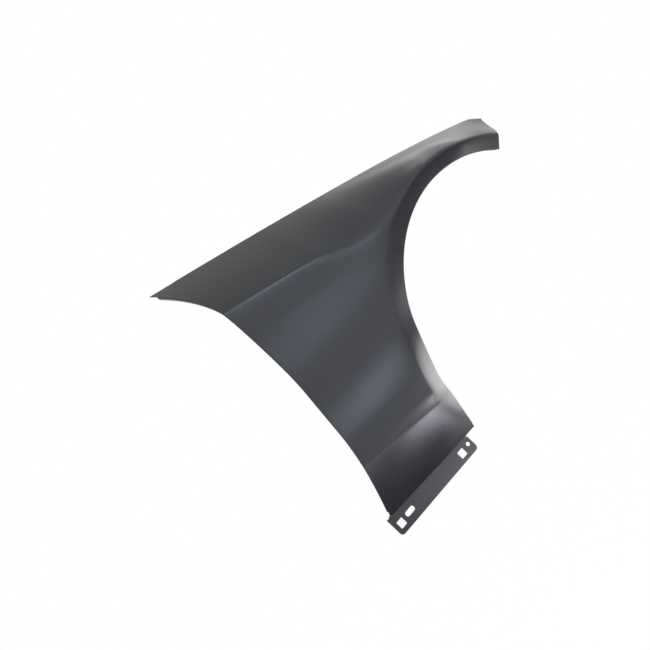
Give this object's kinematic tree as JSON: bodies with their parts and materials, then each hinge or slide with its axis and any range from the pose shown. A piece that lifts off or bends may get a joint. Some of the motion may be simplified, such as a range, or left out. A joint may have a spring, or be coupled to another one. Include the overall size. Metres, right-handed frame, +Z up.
{
  "type": "car front fender",
  "caption": "Pressed steel car front fender in black electrocoat, with a flared wheel arch, a shoulder crease, a hood rail with bolt slots and a stepped sill flange with holes.",
  "frame": {"origin": "point on the inner face of the sill flange, between its holes", "axes": "+X toward the front of the car, +Y inboard, +Z up"},
  "size_m": [0.9995, 0.1744, 0.7563],
  "materials": {
    "electrocoated_steel": "satin"
  },
  "bodies": {
    "root": {"fender_panel": "electrocoated_steel"}
  },
  "joints": []
}
